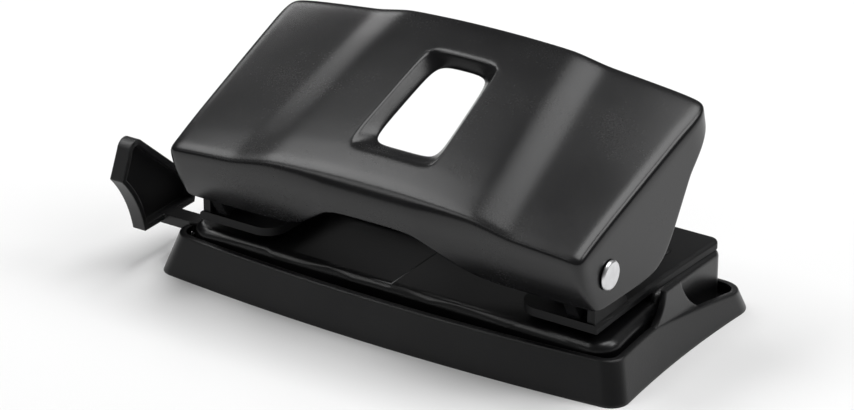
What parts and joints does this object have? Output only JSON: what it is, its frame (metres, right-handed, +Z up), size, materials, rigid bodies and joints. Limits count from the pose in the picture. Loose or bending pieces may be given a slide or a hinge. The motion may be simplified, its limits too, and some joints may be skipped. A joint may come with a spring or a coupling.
{
  "type": "two-hole paper punch",
  "caption": "Black two-hole paper punch: a steel base and frame, a wide plastic lever with a window, a sliding paper guide and a drop-down chip tray.",
  "frame": {"origin": "middle of the tray's footprint on the desk", "axes": "+X along the paper slot towards the tray's pull tab, +Y from the paper side towards the rear, +Z up"},
  "size_m": [0.1247, 0.0647, 0.0568],
  "materials": {
    "handle_plastic": "black moulded plastic, fine satin grain, edges a little shinier",
    "tray_plastic": "black moulded plastic, satin",
    "guide_plastic": "black moulded plastic, satin",
    "black_steel": "black paint on pressed steel, semi-gloss",
    "plain_steel": "turned steel, lightly oiled",
    "spring_steel": "bright spring steel",
    "plated_steel": "plated rivet head, satin"
  },
  "bodies": {
    "base": {"base_plate": "black_steel", "punch_frame": "black_steel", "ruler_bracket": "black_steel", "punch_guide_left": "plain_steel", "return_spring_left": "spring_steel", "pivot_rivet_left": "plated_steel", "pivot_washer_left": "plain_steel", "frame_rivet_left_outer": "black_steel", "frame_rivet_left_inner": "black_steel", "punch_guide_right": "plain_steel", "return_spring_right": "spring_steel", "pivot_rivet_right": "plated_steel", "pivot_washer_right": "plain_steel", "frame_rivet_right_outer": "black_steel", "frame_rivet_right_inner": "black_steel"},
    "handle": {"handle": "handle_plastic"},
    "punch_left": {"punch_pin_left": "plain_steel", "retaining_ring_left": "spring_steel", "spring_washer_left": "plain_steel"},
    "punch_right": {"punch_pin_right": "plain_steel", "retaining_ring_right": "spring_steel", "spring_washer_right": "plain_steel"},
    "paper_guide": {"paper_guide": "guide_plastic"},
    "tray": {"chip_tray": "tray_plastic"}
  },
  "joints": [
    {"name": "handle_press", "type": "hinge", "parent": "base", "child": "handle", "pos_m": [0, -0.0214, 0.0266], "axis": [-1, 0, 0], "range_deg": [0, 22], "stiffness_Nm_per_rad": 0.35, "springref_deg": -17.19},
    {"name": "punch_left_slide", "type": "slide", "parent": "base", "child": "punch_left", "axis": [0, 0, -1], "range_m": [0, 0.0036], "deforming": ["return_spring_left"]},
    {"name": "punch_right_slide", "type": "slide", "parent": "base", "child": "punch_right", "axis": [0, 0, -1], "range_m": [0, 0.0036], "deforming": ["return_spring_right"]},
    {"name": "paper_guide_slide", "type": "slide", "parent": "base", "child": "paper_guide", "axis": [-1, 0, 0], "range_m": [-0.003, 0.086]},
    {"name": "tray_open", "type": "hinge", "parent": "base", "child": "tray", "pos_m": [-0.0546, 0, 0.0062], "axis": [0, 1, 0], "range_deg": [0, 15]}
  ],
  "couplings": [
    {"joint": "punch_left_slide", "follows": "handle_press", "m_per_rad": 0.00909},
    {"joint": "punch_right_slide", "follows": "handle_press", "m_per_rad": 0.00909}
  ]
}
